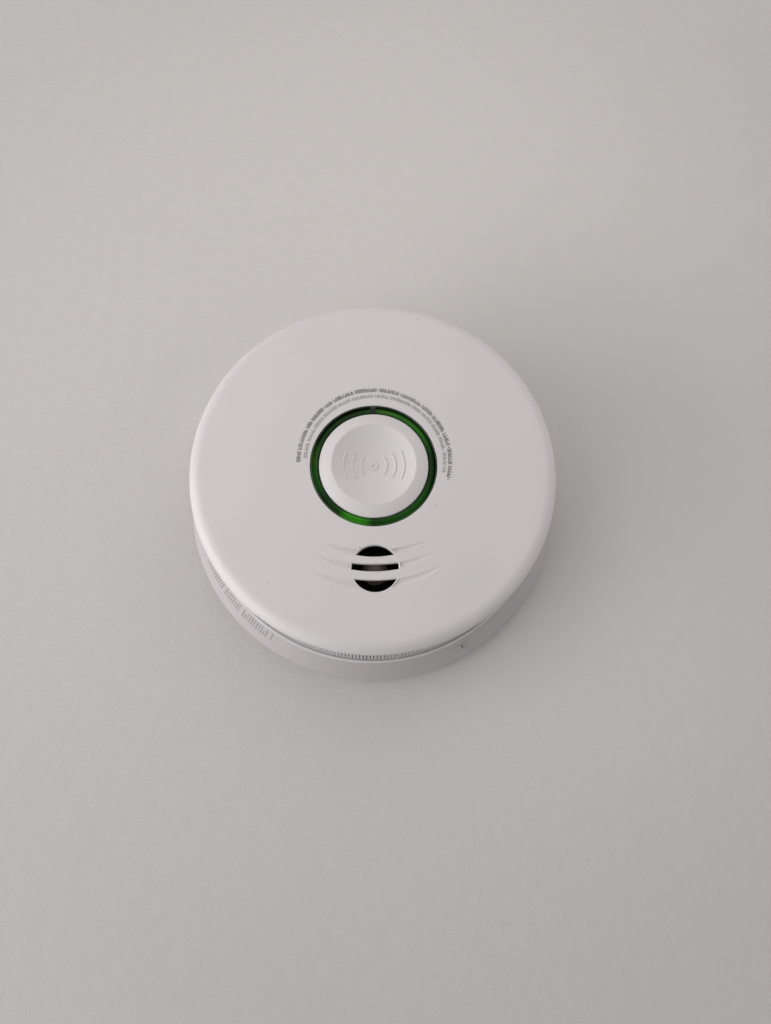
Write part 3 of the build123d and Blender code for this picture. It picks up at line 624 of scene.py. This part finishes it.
def relief_bar(shape, path, closed=False):
    """A raised bar with rounded shoulders that follows a path over the dish."""
    rings = []
    count = len(path)
    for i, (x, y) in enumerate(path):
        before = path[(i - 1) % count] if closed else path[max(i - 1, 0)]
        after = path[(i + 1) % count] if closed else path[min(i + 1, count - 1)]
        along_x, along_y = after[0] - before[0], after[1] - before[1]
        length = math.hypot(along_x, along_y) or 1.0
        side_x, side_y = -along_y / length, along_x / length
        # open bars taper at both ends
        taper = 1.0 if closed else min(1.0, 0.35 + 1.3 * min(i, count - 1 - i) / 2.0)
        ring = []
        for across, level in RELIEF_PROFILE:
            point_x = x + side_x * across * RELIEF_WIDTH * taper
            point_y = y + side_y * across * RELIEF_WIDTH * taper
            rise = level * RELIEF_HEIGHT * taper if level > 0 else level
            z = dish_z(math.hypot(point_x, point_y)) + rise
            ring.append(shape.verts.new((point_x * MM, point_y * MM, z * MM)))
        rings.append(ring)
    loft(shape, rings, closed)


def button_relief():
    """Raised sound-wave sign in the dish of the test button."""
    shape = bmesh.new()
    for radius, half in WAVES:
        for middle in (0, 180):
            relief_bar(shape, arc_path(radius, middle - half, middle + half, steps=22))
    relief_bar(shape, arc_path(DOT_RING_R, 0, 345, steps=23), closed=True)
    material = MATERIALS["button_plastic"]
    finish_mesh("button_relief", shape, material, "button", smooth=50)


button_relief()

# ------------------------------------------------------------------ return spring
COIL_R, WIRE_R, COIL_PITCH = 4.6, 0.28, 1.28
COIL_LOW, COIL_HIGH = 33.72, 38.72
STEPS_PER_TURN, WIRE_SIDES = 40, 12


def return_spring():
    """The coil spring under the button."""
    shape = bmesh.new()
    turns = (COIL_HIGH - COIL_LOW) / COIL_PITCH
    steps = int(turns * STEPS_PER_TURN)
    rings = []
    for i in range(steps + 1):
        turn = 2 * math.pi * turns * i / steps
        cos, sin = math.cos(turn), math.sin(turn)
        z = COIL_LOW + COIL_PITCH * turn / (2 * math.pi)
        centre = Vector((COIL_R * cos, COIL_R * sin, z))
        out = Vector((cos, sin, 0))
        along = Vector((-COIL_R * sin, COIL_R * cos, COIL_PITCH / (2 * math.pi))).normalized()
        side = along.cross(out)
        ring = []
        for k in range(WIRE_SIDES):
            angle = 2 * math.pi * k / WIRE_SIDES
            offset = WIRE_R * (math.cos(angle) * out + math.sin(angle) * side)
            ring.append(shape.verts.new((centre + offset) * MM))
        rings.append(ring)
    loft(shape, rings)
    coil = finish_mesh("return_spring", shape, MATERIALS["spring_steel"], "alarm",
                       smooth=50)
    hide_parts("button_spring")
    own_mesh(coil)


return_spring()


# ------------------------------------------------------------------ stage, metres
def stage_paint():
    """Rolled wall paint with a painted pool of light, a little darker away from a spot just above
    the alarm.
    """
    mat = Material("stage_paint")
    tone = mat.remap(mat.noise(scale=3.0, detail=2))
    fine = mat.noise(scale=900, detail=4, roughness=0.6)
    roll = mat.noise(scale=160, roughness=0.55)
    paint = mat.mix(tone, (0.575, 0.56, 0.54), (0.595, 0.58, 0.56))
    # painted light: the wall is brighter near this spot and fades darker away from it
    painted_light_centre = (0.02, 0.06, 0.0)
    away = mat.node(
        "ShaderNodeVectorMath", {0: mat.position, 1: painted_light_centre}, operation="DISTANCE"
    )
    painted_light_fade = mat.remap(away.outputs["Value"], span=(0.08, 0.26), to=(1.04, 0.91), smooth=True)
    shade = mat.node("ShaderNodeCombineColor", {0: painted_light_fade, 1: painted_light_fade, 2: painted_light_fade})
    mat.set("Base Color", mat.mix(1.0, paint, shade.outputs["Color"], "MULTIPLY"))
    mat.set("Roughness", 0.75)
    height = mat.plus(mat.times(fine, 0.5), roll)
    mat.set("Normal", mat.bump(height, strength=0.45, distance=0.6 * MM))
    return mat


# the plane lies a hair behind the alarm's back
bpy.ops.mesh.primitive_plane_add(size=6.0, location=(0, 0, -0.00005))
wall = bpy.context.object
wall.name = "stage_wall"
wall.data.materials.append(stage_paint().data)

# ------------------------------------------------------------------ lights
LIGHT_TARGET = (0, 0, 0.03)
# name, azimuth from +X and elevation from the wall in degrees, distance, size, watts, colour
LIGHTS = (
    ("window_low", 190, 8, 1.0, 0.8, 4.99, (1.0, 0.975, 0.99)),
    ("window_low_left", 215, 8, 1.0, 0.8, 5.0, (1.0, 0.975, 0.99)),
    ("window_left", 195, 35, 0.8, 0.9, 3.15, (1.0, 0.975, 0.985)),
    ("window_top_left", 150, 35, 0.9, 1.0, 0.48, (1.0, 0.975, 0.975)),
    ("room_top", 90, 50, 0.6, 0.9, 2.24, (1.0, 0.968, 0.945)),
    ("room_right", 30, 22, 0.9, 1.0, 2.25, (1.0, 0.958, 0.965)),
    ("room_low_right", 330, 22, 0.9, 1.0, 2.86, (1.0, 0.965, 0.97)),
)


def area_light(name, location, size, power, color):
    light = bpy.data.lights.new(name, "AREA")
    light.energy = power
    light.color = color
    light.size = size
    lamp = bpy.data.objects.new(name, light)
    bpy.context.scene.collection.objects.link(lamp)
    lamp.location = location
    aim = Vector(LIGHT_TARGET) - Vector(location)
    lamp.rotation_euler = aim.to_track_quat("-Z", "Y").to_euler()


def round_the_clock(azimuth, elevation, distance):
    around, lift = math.radians(azimuth), math.radians(elevation)
    x = distance * math.cos(lift) * math.cos(around)
    y = distance * math.cos(lift) * math.sin(around)
    return (x, y, distance * math.sin(lift))


for name, azimuth, elevation, distance, size, power, color in LIGHTS:
    area_light(name, round_the_clock(azimuth, elevation, distance), size, power, color)
area_light("room_front", (0, 0.25, 1.2), size=1.2, power=0.845, color=(1.0, 0.97, 0.96))

scene = bpy.context.scene
world = bpy.data.worlds.new("studio")
scene.world = world
world.use_nodes = True
background = world.node_tree.nodes["Background"]
background.inputs["Color"].default_value = (1.0, 0.985, 0.97, 1)
background.inputs["Strength"].default_value = 0.002


# ------------------------------------------------------------------ camera
def add_camera():
    """Below the alarm, looking up at it and in towards the wall."""
    lens = bpy.data.cameras.new("camera")
    lens.sensor_width = 36.0
    lens.lens = 27.03515625
    lens.clip_start = 0.01
    lens.clip_end = 20.0
    camera = bpy.data.objects.new("camera", lens)
    scene.collection.objects.link(camera)
    right = Vector((0.99955, -0.01749, 0.02417)).normalized()
    down = Vector((-0.01024, -0.96202, -0.27278)).normalized()
    forward = right.cross(down).normalized()
    down = forward.cross(right).normalized()
    turn = Matrix((right, -down, -forward)).transposed()
    camera.matrix_world = Matrix.Translation((-0.0036, -0.0890, 0.2963)) @ turn.to_4x4()
    scene.camera = camera


add_camera()
scene.view_settings.view_transform = "Standard"
scene.view_settings.look = "None"
scene.view_settings.exposure = 0.0
scene.view_settings.gamma = 1.0
